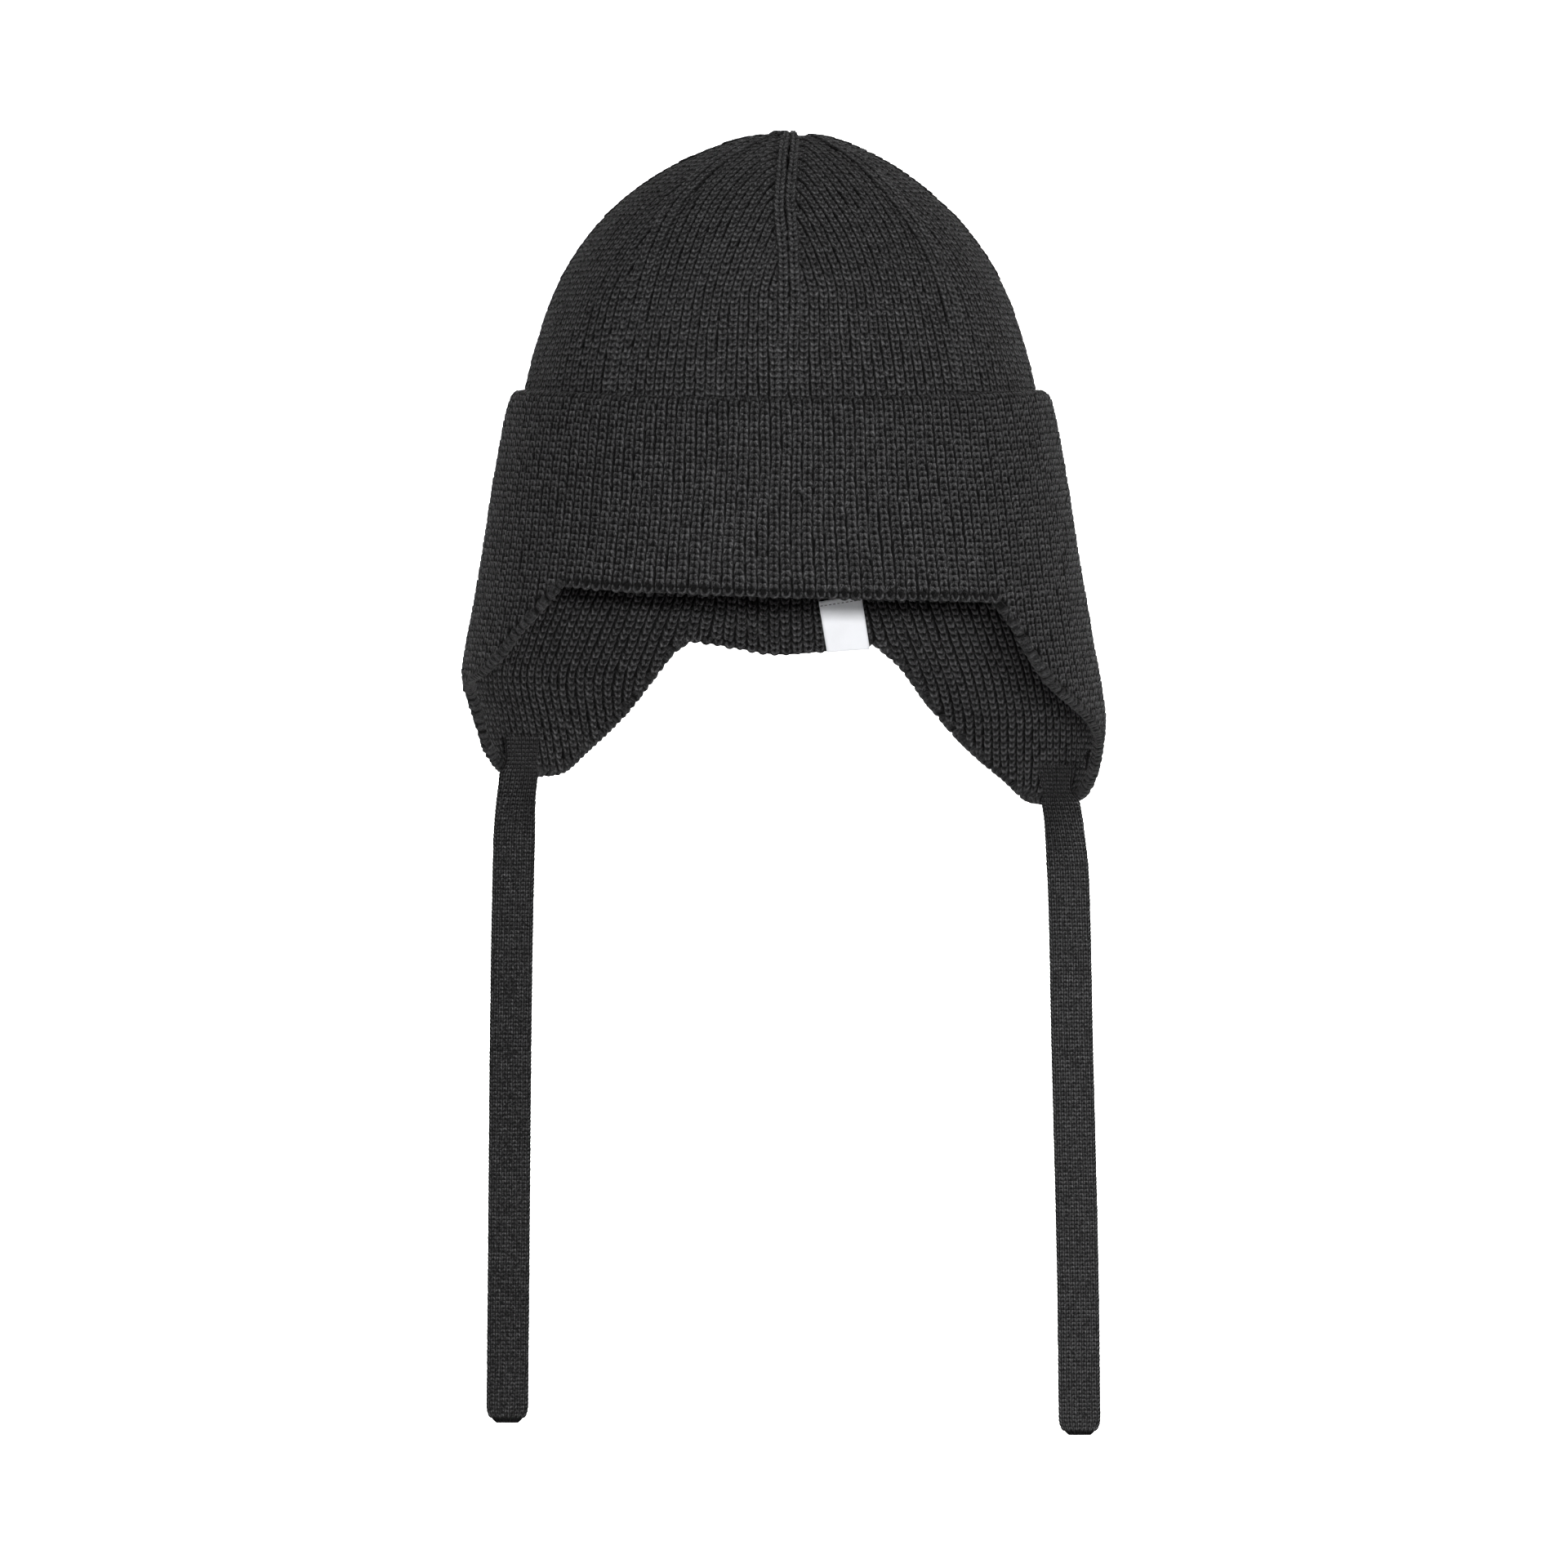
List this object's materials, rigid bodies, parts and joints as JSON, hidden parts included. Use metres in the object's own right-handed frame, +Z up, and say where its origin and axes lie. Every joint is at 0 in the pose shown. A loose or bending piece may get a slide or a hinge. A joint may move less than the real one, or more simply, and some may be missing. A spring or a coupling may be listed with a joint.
{
  "type": "baby hat",
  "caption": "Heavy rib-knit baby hat with a gathered crown, a deep turned cuff, two wide ear flaps and two flat hanging ties",
  "frame": {"origin": "where the top of a head meets the inside of the crown", "axes": "+Z up, the hat's front towards -Y, the front view's right towards +X"},
  "size_m": [0.1654, 0.1667, 0.3358],
  "materials": {
    "knit": "heavy rib knit",
    "tie_knit": "fine flat knit",
    "label": "woven, bare"
  },
  "bodies": {
    "root": {"crown": "knit", "cuff": "knit", "ear_flap_left": "knit", "ear_flap_right": "knit", "tie_left": "tie_knit", "tie_right": "tie_knit", "label": "label"}
  },
  "joints": []
}
